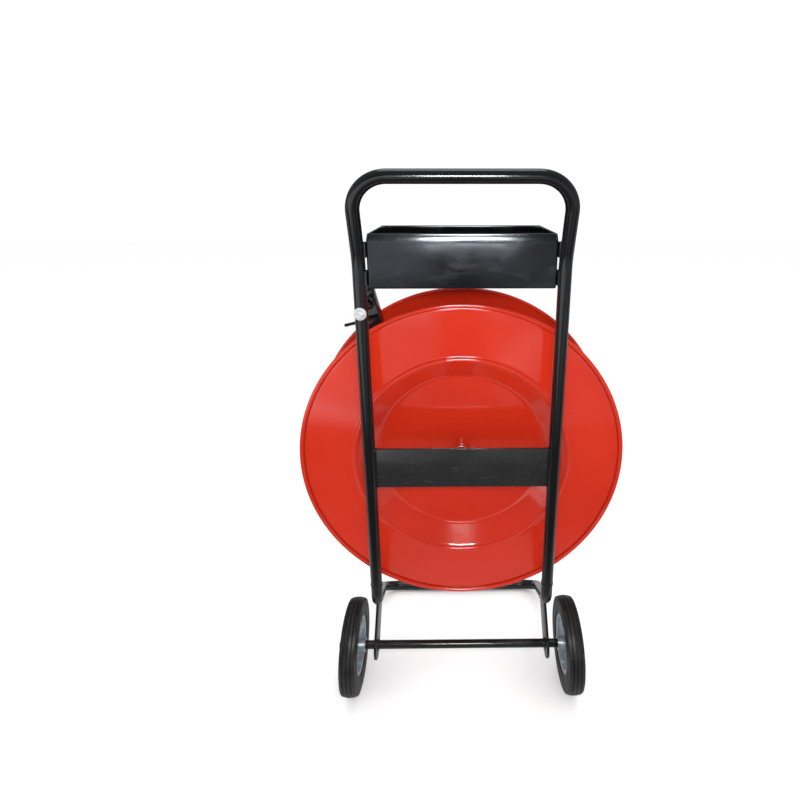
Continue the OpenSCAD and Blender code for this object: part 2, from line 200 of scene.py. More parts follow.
def floor_paint():
    """
    Matt white studio floor. Glossy rays see a painted reflection on it instead, dim and cloudy grey: painted
    shade just behind the cart, lighter past the operator, whose painted dark shape stands in the middle, a
    little lighter ahead, and a painted glare brighter than white.
    """
    white = (0.97, 0.97, 0.97, 1)
    shade, glare = (0.05, 0.05, 0.052, 1), (1.25, 1.26, 1.3, 1)
    paint = Paint("studio_floor", Specular_IOR_Level=0.1)
    cloud = paint.noise(1.3, 2.0)
    x, y = paint.part(paint.place, "X"), paint.part(paint.place, "Y")
    behind = (0.0 - y).band(0.95, 1.10)
    ahead = y.band(-0.42, -0.15)
    # Painted reflection of the operator: a dark stripe down the middle of the floor's glossy colour.
    painted_operator_mask = abs(x - 0.02).band(0.10, 0.24) * 0.93 + 0.07
    leftward = (0.0 - x).band(-0.6, 1.0) * 0.7 + 0.3
    light = behind * leftward * painted_operator_mask * (cloud.band(0.40, 0.58) * 0.7 + 0.3) + ahead * 0.26
    mirrored = paint.node("ShaderNodeLightPath", out="Is Glossy Ray")
    # Glossy rays get the painted reflection colour, all other rays plain white.
    return paint.set(Base_Color=paint.mix(mirrored, white, paint.mix(light, shade, glare)),
                     Roughness=cloud * 0.1 + 0.8)


def sheet_mesh(name, points, material, crease=32.0, wrap=(False, True), caps=(True, True)):
    """
    Makes an object from a grid of points, rows by columns by 3. Each cell is one face, wrap joins the last
    row or column to the first, and caps close the first and last row with one face each. Edges sharper than
    crease degrees stay sharp in the shading.
    """
    rows, cols = points.shape[:2]
    index = np.arange(rows * cols).reshape(rows, cols)
    if wrap[0]:
        index = np.vstack([index, index[:1]])
    if wrap[1]:
        index = np.hstack([index, index[:, :1]])
    quads = np.stack([index[:-1, :-1], index[:-1, 1:], index[1:, 1:], index[1:, :-1]], axis=-1).reshape(-1, 4)
    faces = quads.tolist()
    if caps[0]:
        faces.append(index[0, :cols][::-1].tolist())
    if caps[1]:
        faces.append(index[rows - 1, :cols].tolist())
    mesh = bpy.data.meshes.new(name)
    mesh.from_pydata(points.reshape(-1, 3).tolist(), [], faces)
    mesh.polygons.foreach_set("use_smooth", np.ones(len(mesh.polygons), bool))
    outward(mesh)
    mesh.set_sharp_from_angle(angle=math.radians(crease))
    mesh.materials.append(material)
    piece = bpy.data.objects.new(name, mesh)
    scene.collection.objects.link(piece)
    return piece


def outward(mesh):
    """Makes the faces agree, then turns them all if the closed mesh has a negative volume."""
    work = bmesh.new()
    work.from_mesh(mesh)
    bmesh.ops.recalc_face_normals(work, faces=work.faces)
    if work.calc_volume(signed=True) < 0:
        bmesh.ops.reverse_faces(work, faces=work.faces)
    work.to_mesh(mesh)
    work.free()


ground = np.array([[[-1, -1, 0], [1, -1, 0]], [[-1, 1, 0], [1, 1, 0]]], float) * FLOOR_HALF
floor = sheet_mesh("studio_floor", ground, floor_paint(), wrap=(False, False), caps=(False, False))
if floor.data.polygons[0].normal.z < 0:
    floor.data.flip_normals()


def white_tent():
    """
    The world: even white for matt paint. Gloss sees it dim instead, lighter by a straight ramp from the
    horizon up and, by the fourth power of the way's X, towards both sides.
    """
    world = bpy.data.worlds.new("tent")
    world.use_nodes = True
    world.node_tree.nodes.clear()
    nodes = Nodes(world.node_tree)
    way = nodes.node("ShaderNodeTexCoord", out="Generated")
    height = nodes.part(way, "Z").band(0.0, 0.9)
    dim = nodes.mix(height, (0.02, 0.021, 0.023, 1), (0.22, 0.23, 0.25, 1))
    dim = nodes.mix(nodes.part(way, "X") ** 4, dim, (0.28, 0.30, 0.33, 1))
    mirrored = nodes.node("ShaderNodeLightPath", out="Is Glossy Ray")
    colour = nodes.mix(mirrored, (1.06, 1.06, 1.06, 1), dim)
    light = nodes.node("ShaderNodeBackground", None, {"Color": colour})
    nodes.node("ShaderNodeOutputWorld", None, {"Surface": light})
    return world


scene.world = white_tent()

# --- Frame tubes: one bow of 22 mm steel tube makes the uprights and the handle, and a second, splayed one
# makes the elbows, legs and foot bar. They butt below the reel, where a weld joins them, and both are
# powder coated gloss black.

MM = 0.001
joints = {joint["name"]: joint for joint in frame["joints"]}
OUT = Vector(joints["reel_spin"]["axis"])            # square to the uprights, away from the operator
ALONG = Vector((0.0, -OUT.z, OUT.y))                 # up along the uprights
REAR_RIM = 49 * MM                                   # from the crossbar's middle to the reel's rear face
REEL_WIDTH = 148.5 * MM
HUB = Vector(joints["reel_spin"]["pos_m"]) - OUT * (REAR_RIM + REEL_WIDTH / 2)
AXLE_CENTRE = Vector((0, *joints["wheel_left_spin"]["pos_m"][1:]))
TUBE_R = 11 * MM
RAIL_X = 167.5 * MM
JOINT_UP = -240 * MM
BEND_UP = 395 * MM
ELBOW_UP = -278 * MM
TILT = math.radians(17.5)
HANDLE_LEN = 137 * MM
HANDLE_R = 55 * MM
BEND_R = 100 * MM
FOOT_R = 45 * MM
FOOT_HALF = 208 * MM
FOOT_REACH = 317 * MM
ACROSS = Vector((1, 0, 0))
SIDES = ((-1, "left"), (1, "right"))


def leaned(across, out, along):
    """A point of the leaning frame: across it, out of its plane and along its uprights, in metres."""
    place = np.zeros(np.broadcast(across, out, along).shape + (3,))
    place += np.array(HUB)
    place[..., 0] += across
    place += np.asarray(out)[..., None] * np.array(OUT)
    place += np.asarray(along)[..., None] * np.array(ALONG)
    return place


def rounded_route(corners, radii, step=0.004):
    """
    The route through corners with each inner corner rounded to its radius. An arc's point at angle a is
    centre + radius * (-m cos a + t sin a), with t the way in and m the way towards the centre.
    """
    corners = [np.asarray(c, float) for c in corners]
    pieces = [corners[0][None]]
    for before, at, after, radius in zip(corners, corners[1:], corners[2:], radii):
        t = (at - before) / np.linalg.norm(at - before)
        b = (after - at) / np.linalg.norm(after - at)
        angle = math.acos(float(np.clip(t @ b, -1, 1)))
        m = b - t * (t @ b)
        m = m / np.linalg.norm(m)
        centre = at - t * radius * math.tan(angle / 2) + m * radius
        a = np.linspace(0, angle, max(6, int(radius * angle / step)))[:, None]
        pieces.append(centre + radius * (t * np.sin(a) - m * np.cos(a)))
    pieces.append(corners[-1][None])
    return np.vstack(pieces)


def tube_mesh(name, route, radius, material, sides=40, side_way=(0, 0, 1)):
    """
    A round bar along a route: at each point a circle of radius square to the route, its first axis being the
    route's way crossed with side_way.
    """
    way = np.gradient(route, axis=0)
    way /= np.linalg.norm(way, axis=1)[:, None]
    radius = np.broadcast_to(np.asarray(radius, float), (len(route),))
    first = np.cross(way, np.asarray(side_way, float))
    first /= np.linalg.norm(first, axis=1)[:, None]
    second = np.cross(way, first)
    a = np.linspace(0, 2 * math.pi, sides, endpoint=False)
    ring = np.cos(a)[None, :, None] * first[:, None] + np.sin(a)[None, :, None] * second[:, None]
    points = route[:, None] + radius[:, None, None] * ring
    return sheet_mesh(name, points, material)


def fixed(piece, body, slot, *nodes):
    """Lets the piece ride on a body and stands for the nodes named. Its finish's slot is not used."""
    if nodes:
        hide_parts(*nodes)
    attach(piece, body)
    return piece


def black_enamel():
    """Gloss black powder coat: faint orange peel, uneven gloss, grey dust low down and a few dull scuffs."""
    paint = Paint("black_enamel", Coat_Roughness=0.08, Specular_IOR_Level=0.5)
    peel = paint.noise(900.0, 2.0)
    wave = paint.noise(60.0, 2.0)
    patch = paint.noise(14.0, 4.0, 0.6)
    scuff = paint.noise(260.0, 5.0, 0.7, (1.0, 1.0, 0.25)).band(0.66, 0.72) * patch.band(0.5, 0.62)
    low = 1.0 - paint.part(paint.place, "Z").band(0.0, 0.16)
    dust = low * patch.band(0.35, 0.75) * 0.35
    colour = paint.mix(dust + scuff * 0.25, (0.0030, 0.0031, 0.0035, 1), (0.060, 0.058, 0.055, 1))
    relief = paint.bump(wave, 0.00012, paint.bump(peel, 0.000012))
    return paint.set(Base_Color=colour, Roughness=patch * 0.10 + scuff * 0.25 + dust * 0.5 + 0.13,
                     Coat_Weight=0.35 - scuff * 0.3, Normal=relief)


ENAMEL = black_enamel()
top_out, top_up = -HANDLE_LEN * math.sin(TILT), BEND_UP + HANDLE_LEN * math.cos(TILT)
bow_corners = [leaned(-RAIL_X, 0, JOINT_UP), leaned(-RAIL_X, 0, BEND_UP), leaned(-RAIL_X, top_out, top_up),
               leaned(RAIL_X, top_out, top_up), leaned(RAIL_X, 0, BEND_UP), leaned(RAIL_X, 0, JOINT_UP)]
bow_route = rounded_route(bow_corners, [BEND_R, HANDLE_R, HANDLE_R, BEND_R])
fixed(tube_mesh("handle_bow", bow_route, TUBE_R, ENAMEL, sides=48, side_way=OUT),
      "frame", "black_enamel", "handle_tube")

foot_y = float(leaned(0, 0, ELBOW_UP)[1]) + FOOT_REACH
leg_corners = [leaned(-RAIL_X, 0, JOINT_UP), leaned(-RAIL_X, 0, ELBOW_UP), (-FOOT_HALF, foot_y, TUBE_R),
               (FOOT_HALF, foot_y, TUBE_R), leaned(RAIL_X, 0, ELBOW_UP), leaned(RAIL_X, 0, JOINT_UP)]
LEG_NORMAL = Vector((0.0, 0.52, 0.85))
leg_route = rounded_route(leg_corners, [FOOT_R] * 4)
fixed(tube_mesh("foot_bow", leg_route, TUBE_R, ENAMEL, sides=48, side_way=LEG_NORMAL),
      "frame", "black_enamel", "foot_tube")


def weld_bead(name, route, radius, seed=0.0, side_way=(0, 0, 1)):
    """
    A painted weld along a route: a bar of radius * (1 + |sine| ripple + slow sine wander), drawn in at both
    ends by a square root.
    """
    gap = np.linalg.norm(np.diff(route, axis=0), axis=1)
    run = np.concatenate([[0.0], np.cumsum(gap)])
    even = np.linspace(0, run[-1], max(12, int(run[-1] / (radius * 0.35))))
    line = np.stack([np.interp(even, run, route[:, i]) for i in range(3)], axis=1)
    ripple = 0.16 * np.abs(np.sin(even / (radius * 0.9) + seed))
    wander = 0.10 * np.sin(even / (radius * 5) + 3 * seed)
    swell = 1 + ripple + wander
    ends = np.clip(np.minimum(even, run[-1] - even) / (1.2 * radius), 0.02, 1) ** 0.5
    fixed(tube_mesh(name, line, radius * swell * ends, ENAMEL, sides=12, side_way=side_way),
          "frame", "black_enamel")


def circle_route(centre, axis, radius, start=0.0, sweep=2 * math.pi, count=48):
    """Points round an axis: centre + radius * (e1 cos a + e2 sin a) from the angle start over sweep."""
    axis = Vector(axis).normalized()
    e1 = axis.orthogonal().normalized()
    e2 = axis.cross(e1)
    a = np.linspace(start, start + sweep, count)[:, None]
    return np.array(centre) + radius * (np.array(e1) * np.cos(a) + np.array(e2) * np.sin(a))


for side, name in SIDES:
    seam = circle_route(leaned(side * RAIL_X, 0, JOINT_UP), ALONG, TUBE_R, count=60)
    weld_bead(name + "_butt_weld", seam, 0.9 * MM, side, ALONG)

# --- Crossbar: a length of flat bar between the uprights that carries the spindle. It is sheared to length,
# coped to the tubes and welded down both of its ends, front and back.

BAR_LOW = -22 * MM
BAR_HIGH = 56 * MM
BAR_T = 5 * MM
SINK = 0.4 * MM                                      # how far a weld or an end sinks into its neighbour


def plate_mesh(name, outline, normal, thickness, material, edge=0.6 * MM):
    """
    A flat plate: the closed outline, set in by the edge size at both faces and full between them, pushed
    along normal to its thickness. The inset moves each point along its corner's inner bisector.
    """
    outline = np.asarray(outline, float)
    n = np.array(Vector(normal).normalized())
    ahead = np.roll(outline, -1, axis=0) - outline
    ahead /= np.linalg.norm(ahead, axis=1)[:, None]
    behind = np.roll(ahead, 1, axis=0)
    inner = np.cross(n, ahead) + np.cross(n, behind)
    inner /= np.maximum(1e-9, (inner * np.cross(n, ahead)).sum(axis=1))[:, None]
    spokes = outline - outline.mean(0)
    inner *= np.sign((np.cross(spokes, np.roll(spokes, -1, axis=0)) @ n).sum())
    steps = [(1.0, 0.0), (0.3, 0.3), (0.0, 1.0)]
    rows = [outline + (inner * set_in + n * rise) * edge for set_in, rise in steps]
    rows += [outline + inner * set_in * edge + n * (thickness - rise * edge) for set_in, rise in steps[::-1]]
    return sheet_mesh(name, np.stack(rows), material, crease=50.0)


half_bar = RAIL_X - math.sqrt(TUBE_R ** 2 - (BAR_T / 2) ** 2) + SINK
bar_face = [leaned(-half_bar, -BAR_T / 2, BAR_LOW), leaned(half_bar, -BAR_T / 2, BAR_LOW),
            leaned(half_bar, -BAR_T / 2, BAR_HIGH), leaned(-half_bar, -BAR_T / 2, BAR_HIGH)]


def worn_sheen_enamel():
    """The frame's black on flat bar: greyer than on the tubes, which is painted sheen standing in for light
    on the flat face, with long rub marks from reels being loaded past it, which are real wear.
    """
    paint = Paint("black_enamel_worn_sheen", Coat_Roughness=0.12, Specular_IOR_Level=0.5)
    peel = paint.noise(900.0, 2.0)
    cloud = paint.noise(26.0, 4.0, 0.6)
    rub = paint.noise(120.0, 5.0, 0.7, (0.12, 1.0, 1.0)).band(0.58, 0.72) * cloud.band(0.35, 0.6)
    # Colour: the lifted dark end is painted sheen, and the rub marks are real wear.
    colour = paint.mix(rub * 0.5 + cloud * 0.2, (0.0085, 0.0088, 0.0095, 1), (0.050, 0.049, 0.047, 1))
    return paint.set(Base_Color=colour, Roughness=cloud * 0.12 + rub * 0.2 + 0.2, Coat_Weight=0.3 - rub * 0.2,
                     Normal=paint.bump(cloud, 0.0002, paint.bump(peel, 0.000012)))


crossbar = plate_mesh("crossbar_flat", bar_face, OUT, BAR_T, worn_sheen_enamel(), edge=0.9 * MM)
fixed(crossbar, "frame", "black_enamel", "crossbar")
seam_ends = np.array([BAR_LOW - 1 * MM, BAR_HIGH + 1 * MM])
for side, letter in ((-1, "l"), (1, "r")):
    for face, which in ((-1, "b"), (1, "f")):
        seam = leaned(side * (half_bar - SINK), face * (BAR_T / 2 + SINK), seam_ends)
        weld_bead(f"crossbar_weld_{letter}{which}", seam, 2.0 * MM, side + face, OUT)

# --- Spindle: a turned 20 mm bar welded through a boss on the crossbar. The reel turns on it between two
# washers, and a plain nut and a split pin keep the reel on.

SPINDLE_R = 10 * MM
BOSS_R = 15 * MM
HUB_LOW = 78.5 * MM
HUB_HIGH = 170.5 * MM
SPINDLE_END = 194.1 * MM
WASHER_T = 2 * MM
PLAY = 0.3 * MM                                      # end play beside a washer
REEL_NUT_H = 12 * MM


def lathe_mesh(name, profile, centre, axis, material, steps=96, crease=32.0, closed=True):
    """
    Turns a profile of (radius, distance along the axis) points round an axis: each point goes to
    centre + radius * (e1 cos a + e2 sin a) + distance * axis. A closed profile is a ring's whole section.
    """
    profile = np.asarray(profile, float)
    axis = Vector(axis).normalized()
    e1 = axis.orthogonal().normalized()
    e2 = axis.cross(e1)
    a = np.linspace(0, 2 * math.pi, steps, endpoint=False)
    spoke = np.cos(a)[:, None] * np.array(e1) + np.sin(a)[:, None] * np.array(e2)
    points = (np.array(centre) + profile[:, 0, None, None] * spoke[None]
              + profile[:, 1, None, None] * np.array(axis))
    return sheet_mesh(name, points, material, crease, wrap=(closed, True), caps=(not closed, not closed))


def eased(corners, radius, count=4):
    """The closed section through corners with each corner rounded by an arc of the radius."""
    corners = np.asarray(corners, float)
    out = []
    for before, at, after in zip(np.roll(corners, 1, axis=0), corners, np.roll(corners, -1, axis=0)):
        u = (before - at) / np.linalg.norm(before - at)
        v = (after - at) / np.linalg.norm(after - at)
        t = np.linspace(0, 1, count + 1)[:, None]
        p, q = at + u * radius, at + v * radius
        out.append((1 - t) ** 2 * p + 2 * t * (1 - t) * at + t ** 2 * q)
    return np.vstack(out)


def ring_section(inner, outer, low, high, radius=0.4 * MM):
    """A ring's section: a rectangle between two radii and two heights, with eased corners."""
    return eased([(inner, low), (outer, low), (outer, high), (inner, high)], radius)


def rod_profile(radius, low, high, chamfer=0.8 * MM):
    """A plain bar from low to high with a small chamfer at each end, closed on its axis by end faces."""
    end = radius - chamfer
    return [(end, low), (radius, low + chamfer), (radius, high - chamfer), (end, high)]


def turned_steel():
    """Bare turned steel with fine tool rings, a grey film of oil and small darker stains."""
    paint = Paint("turned_steel", Metallic=1.0)
    rings = paint.noise(420.0, 2.0, 0.5, (0.15, 2.5, 0.6))
    stain = paint.noise(70.0, 4.0)
    colour = paint.mix(stain.band(0.45, 0.75), (0.46, 0.46, 0.46, 1), (0.25, 0.24, 0.22, 1))
    return paint.set(Base_Color=colour, Roughness=stain * 0.25 + rings * 0.1 + 0.22,
                     Normal=paint.bump(rings, 0.00003))


def bright_zinc(name, cold, warm, dulled=0.6):
    """Zinc plate: metal with a soft spangle, a bluish to yellowish drift of tint and dull handled patches."""
    paint = Paint(name, Metallic=0.85)
    drift = paint.noise(35.0, 2.0)
    grain = paint.noise(1500.0, 2.0)
    dull = paint.noise(70.0, 3.0, 0.55)
    colour = paint.mix(drift.band(0.35, 0.65), (*cold, 1), (*warm, 1))
    handled = dull.band(0.6, 0.9) * dulled
    return paint.set(Base_Color=paint.mix(handled, colour, (0.36, 0.37, 0.38, 1)),
                     Roughness=dull * 0.10 + 0.24, Normal=paint.bump(grain, 0.0000008))


STEEL = turned_steel()
ZINC = bright_zinc("zinc_hardware", (0.78, 0.80, 0.83), (0.80, 0.79, 0.74))

fixed(lathe_mesh("turned_spindle", rod_profile(SPINDLE_R, BAR_T / 2, SPINDLE_END, 1.5 * MM), HUB, OUT, STEEL,
                 closed=False), "frame", "turned_steel", "spindle")

boss_high = HUB_LOW - PLAY - WASHER_T
boss_section = ring_section(SPINDLE_R, BOSS_R, BAR_T / 2, boss_high, 0.8 * MM)
fixed(lathe_mesh("welded_boss", boss_section, HUB, OUT, ENAMEL), "frame", "black_enamel", "spindle_boss")
boss_foot = leaned(0, BAR_T / 2 + 1 * MM, 0)
weld_bead("boss_weld", circle_route(boss_foot, OUT, BOSS_R + 0.6 * MM), 2.2 * MM, 0.4, OUT)


def washer(name, centre, axis, inner, outer, low, high):
    """A punched washer: a ring's section turned round an axis."""
    return lathe_mesh(name, ring_section(inner, outer, low, high, 0.35 * MM), centre, axis, ZINC, steps=72)


def hex_mesh(name, centre, axis, across, low, high, material, chamfer_both=True, spin=0.0):
    """
    A hexagon head or nut: at each height the radius is the hexagon's, half across / cos(angle within a flat),
    cut off by a 30 degree cone at the far face, and at the near one too if chamfer_both.
    """
    axis = Vector(axis).normalized()
    e1 = axis.orthogonal().normalized()
    e2 = axis.cross(e1)
    half = across / 2
    a = np.linspace(0, 2 * math.pi, 96, endpoint=False)
    flat = half / np.cos((a + math.pi / 6) % (math.pi / 3) - math.pi / 6)
    rise = half * (2 / math.sqrt(3) - 0.97) / math.sqrt(3)
    heights = [low, low + rise / 3, low + rise, high - rise, high - rise / 3, high]
    spoke = np.cos(a + spin)[:, None] * np.array(e1) + np.sin(a + spin)[:, None] * np.array(e2)
    rows = []
    for h in heights:
        depth = min(h - low, high - h) if chamfer_both else high - h
        r = np.minimum(flat, half * 0.95 + math.sqrt(3) * depth)
        rows.append(np.array(centre) + r[:, None] * spoke + h * np.array(axis))
    return sheet_mesh(name, np.stack(rows), material, crease=24.0)


def joined(name, pieces):
    """Puts several closed shapes into one piece, as a set of like fasteners is one node."""
    work = bmesh.new()
    for piece in pieces:
        work.from_mesh(piece.data)
    mesh = bpy.data.meshes.new(name)
    work.to_mesh(mesh)
    work.free()
    mesh.materials.append(pieces[0].data.materials[0])
    mesh.set_sharp_from_angle(angle=math.radians(30))
    for piece in pieces:
        bpy.data.objects.remove(piece)
    piece = bpy.data.objects.new(name, mesh)
    scene.collection.objects.link(piece)
    return piece


fixed(joined("reel_washers", [
    washer("w1", HUB, OUT, SPINDLE_R, BOSS_R, boss_high, HUB_LOW - PLAY),
    washer("w2", HUB, OUT, SPINDLE_R, 20 * MM, HUB_HIGH + PLAY, HUB_HIGH + PLAY + WASHER_T)]),
    "frame", "zinc_hardware", "spindle_washers")
nut_low = HUB_HIGH + PLAY + WASHER_T
fixed(hex_mesh("reel_nut", HUB, OUT, 30 * MM, nut_low, nut_low + REEL_NUT_H, ZINC),
      "frame", "zinc_hardware", "spindle_nut")


def split_pin(name, centre, axis, out_way, radius, length):
    """
    A split pin through a bar: a round eye on one side, two legs side by side through the hole, and their ends
    bent apart. The route is the eye's arc, one leg, and back along the other.
    """
    axis, out_way = np.array(Vector(axis).normalized()), np.array(Vector(out_way).normalized())
    half = length / 2
    shift = radius * 0.5
    eye = radius * 1.6
    a = np.linspace(-0.75 * math.pi, 0.75 * math.pi, 20)[:, None]
    loop = -axis * (half + eye * 0.6) - axis * eye * np.cos(a) + out_way * eye * np.sin(a)
    b = np.linspace(0, 1.2, 8)[:, None]
    bend = 2.2 * radius
    curl = axis * (half - radius + bend * np.sin(b)) + out_way * bend * (1 - np.cos(b))
    first = curl[::-1] + out_way * shift
    second = curl - 2 * out_way * (curl @ out_way)[:, None] - out_way * shift
    route = np.vstack([first, loop[::-1], second]) + np.array(centre)
    return tube_mesh(name, route, radius * 0.48, ZINC, sides=12, side_way=np.cross(axis, out_way))


fixed(split_pin("reel_split_pin", HUB + OUT * (SPINDLE_END - 5 * MM), (1, 0, 0), OUT, 2 * MM, 25 * MM),
      "frame", "zinc_hardware", "spindle_split_pin")

# --- Tray: an open box folded from thin sheet, its upper edge turned down inside as a hem. It hangs between
# the uprights on four welded tabs and holds tools, seals and clips. It has the glossiest enamel of all.

TRAY_HALF = 154.5 * MM
TRAY_DEPTH = 170 * MM
TRAY_H = 90 * MM
TRAY_UP = 349 * MM
SHEET = 1.6 * MM


def tray_enamel():
    """High gloss black on thin sheet: slow waves in the sheet, orange peel, smears of handling and dust."""
    # The bluish specular tint is painted reflection colour: it tints this sheet's highlights bluish.
    paint = Paint("black_sheet", Coat_Roughness=0.10, Specular_IOR_Level=0.6,
                  Specular_Tint=(0.82, 0.92, 1.0, 1))
    peel = paint.noise(700.0, 2.0)
    wave = paint.noise(6.5, 1.0)
    smear = paint.noise(22.0, 4.0, 0.6, (1.0, 1.0, 2.2))
    grime = smear.band(0.5, 0.7)
    colour = paint.mix(grime * 0.25, (0.0030, 0.0032, 0.0040, 1), (0.028, 0.028, 0.028, 1))
    relief = paint.bump(wave, 0.0042, paint.bump(peel, 0.00003))
    return paint.set(Base_Color=colour, Roughness=grime * 0.12 + 0.15, Coat_Weight=0.25 - grime * 0.15,
                     Normal=relief)


def box_loop(half_x, near, far, corner, count=7):
    """The outline of a rectangle with round corners, as (across, out) points: corner arcs joined by sides."""
    a = np.linspace(0, math.pi / 2, count)
    middles = ((half_x - corner, far - corner), (-half_x + corner, far - corner),
               (-half_x + corner, near + corner), (half_x - corner, near + corner))
    arcs = []
    for quarter, (x, y) in enumerate(middles):
        b = a + quarter * math.pi / 2
        arcs.append(np.stack([x + corner * np.cos(b), y + corner * np.sin(b)], axis=1))
    stations = np.array([0.01, 0.03, 0.25, 0.5, 0.75, 0.97, 0.99])[:, None]
    loop = []
    for arc, following in zip(arcs, arcs[1:] + arcs[:1]):
        loop += [arc, arc[-1] + (following[0] - arc[-1]) * stations]
    return np.vstack(loop)


def tray_rows():
    """
    The sheet's section carried round the box: up the outside from the bottom bend, drawn in by a square law
    towards the hem, over it, down its inside edge and the inner wall to the floor. A row is (set in, height).
    """
    bend = 3.5 * MM
    t = np.linspace(0, math.pi / 2, 6)
    hem = 8 * MM
    outer = [(bend - bend * math.sin(b), bend - bend * math.cos(b)) for b in t]
    draw = 1.9 * MM
    lip = [(draw * f ** 2, TRAY_H * (0.80 + 0.18 * f)) for f in np.linspace(0, 1, 9)]
    lip += [(draw + SHEET - SHEET * math.cos(b), TRAY_H - SHEET + SHEET * math.sin(b))
            for b in np.linspace(0.2, math.pi, 9)]
    lip += [(draw + 2 * SHEET, TRAY_H - hem + 0.4 * MM), (draw + 1.8 * SHEET, TRAY_H - hem),
            (draw + SHEET * 1.05, TRAY_H - hem)]
    inner_bend = bend - SHEET
    inner = [(SHEET, TRAY_H * f) for f in (0.85, 0.5, 0.2)]
    inner += [(bend - inner_bend * math.cos(b), bend - inner_bend * math.sin(b)) for b in t]
    return outer + lip + inner


def tray_loop(set_in, height):
    """One row of the sheet: the box's outline set in by that much, at a height over the tray's foot."""
    corner = max(0.6 * MM, 3.2 * MM - set_in)
    flat = box_loop(TRAY_HALF - set_in, set_in, TRAY_DEPTH - set_in, corner)
    return leaned(flat[:, 0], flat[:, 1], np.full(len(flat), TRAY_UP + height))


tray_grid = np.stack([tray_loop(*row) for row in tray_rows()])
fixed(sheet_mesh("folded_tray", tray_grid, tray_enamel(), crease=40), "frame", "black_sheet", "tray")

tabs = frame["nodes"]["tray_brackets"].data.materials
tabs.clear()
tabs.append(ENAMEL)
TAB_LOWS = (6, 52)                                   # mm over the tray's foot
TAB_FACE = 14.5 * MM
for side, letter in ((-1, "l"), (1, "r")):
    for low in TAB_LOWS:
        seam_ends = TRAY_UP + (low + np.array([1, 23])) * MM
        seam = leaned(side * (TRAY_HALF + SINK), TAB_FACE, seam_ends)
        weld_bead(f"tab_weld_{letter}{low}", seam, 1.6 * MM, side * low * MM, OUT)

# --- Reel: two pressed and spun discs on a hub tube. Each has a rolled rim, a flat web, a raised ring that
# the coil's core sits over, and a dish whose floor meets the hub. The front disc unbolts to load a coil.

DISC_R = 312 * MM
RIM_R = 4 * MM
RING_R = 206 * MM
RING_BEAD = 5 * MM
FLOOR_R = 163 * MM
DISH = 35 * MM
WEB = 5 * MM
HUB_R = 20 * MM
REAR_FLOOR = REAR_RIM + DISH
FRONT_RIM = REAR_RIM + REEL_WIDTH
FRONT_FLOOR = FRONT_RIM - DISH


def turned(p, q, r, count=9):
    """A smooth bend from p to r that leaves towards q: (1 - t)^2 p + 2 t (1 - t) q + t^2 r."""
    t = np.linspace(0, 1, count)[:, None]
    p, q, r = (np.asarray(v, float) for v in (p, q, r))
    return (1 - t) ** 2 * p + 2 * t * (1 - t) * q + t ** 2 * r


def disc_section():
    """
    Radius and depth below the rim's face, along the outer face from the hub to the rim and back along the
    inner face: floor, a rounded bend up the cone, the ring's half-round bead, the flat web, then the roll.
    """
    ring_in, ring_out = RING_R - RING_BEAD, RING_R + RING_BEAD
    slope = (ring_in - FLOOR_R) / (DISH - WEB)
    fade = 4.5 * MM
    cone_low = FLOOR_R + fade * slope
    cone_high = (ring_in - 3 * MM * slope, WEB + 3 * MM)
    groove = DISC_R - 2 * RIM_R - 2 * MM
    bead_a = np.linspace(math.pi, 0, 13)
    bead = np.stack([RING_R + RING_BEAD * np.cos(bead_a), WEB - RING_BEAD * 0.96 * np.sin(bead_a)], axis=1)
    roll_a = np.linspace(math.radians(215), math.radians(-150), 30)
    roll = np.stack([DISC_R - RIM_R + RIM_R * np.cos(roll_a), RIM_R - RIM_R * np.sin(roll_a)], axis=1)
    face = np.vstack([
        [(HUB_R, DISH), (HUB_R + 12 * MM, DISH), (FLOOR_R * 0.6, DISH)],
        turned((FLOOR_R - fade * 1.3, DISH), (FLOOR_R, DISH), (cone_low, DISH - fade)),
        turned(cone_high, (ring_in - 0.5 * MM, WEB + 0.4 * MM), bead[1], 5)[:-1],
        bead[1:-1],
        turned(bead[-2], (ring_out + 0.3 * MM, WEB), (ring_out + 3 * MM, WEB), 5)[1:],
        [(groove - 25 * MM, WEB), (groove - 3 * MM, WEB)],
        turned((groove, WEB), (groove + 1.2 * MM, WEB + 0.2 * MM), (groove + 1.8 * MM, WEB + 1.4 * MM), 5),
        roll])
    inner_bead = RING_BEAD - SHEET
    hollow = np.stack([RING_R + inner_bead * np.cos(bead_a[::-1]),
                       WEB - (inner_bead - 0.4 * MM) * np.sin(bead_a)], axis=1)
    back = np.vstack([
        [(DISC_R - 2 * RIM_R + 0.2 * MM, WEB + 2.6 * MM), (groove + 0.4 * MM, WEB + 2.2 * MM),
         (groove - 3 * MM, WEB + SHEET), (ring_out + 3 * MM, WEB + SHEET),
         (ring_out - 1.2 * MM, WEB + SHEET)],
        hollow[1:-1],
        [(ring_in + 1.6 * MM, WEB + SHEET * 1.2), (cone_low + 2.2 * MM, DISH - fade + SHEET)],
        turned((cone_low + 1.9 * MM, DISH - fade + 1.6 * SHEET), (FLOOR_R + 1.2 * MM, DISH + SHEET),
               (FLOOR_R - fade, DISH + SHEET)),
        [(FLOOR_R * 0.6, DISH + SHEET), (HUB_R, DISH + SHEET)]])
    return np.vstack([face, back])


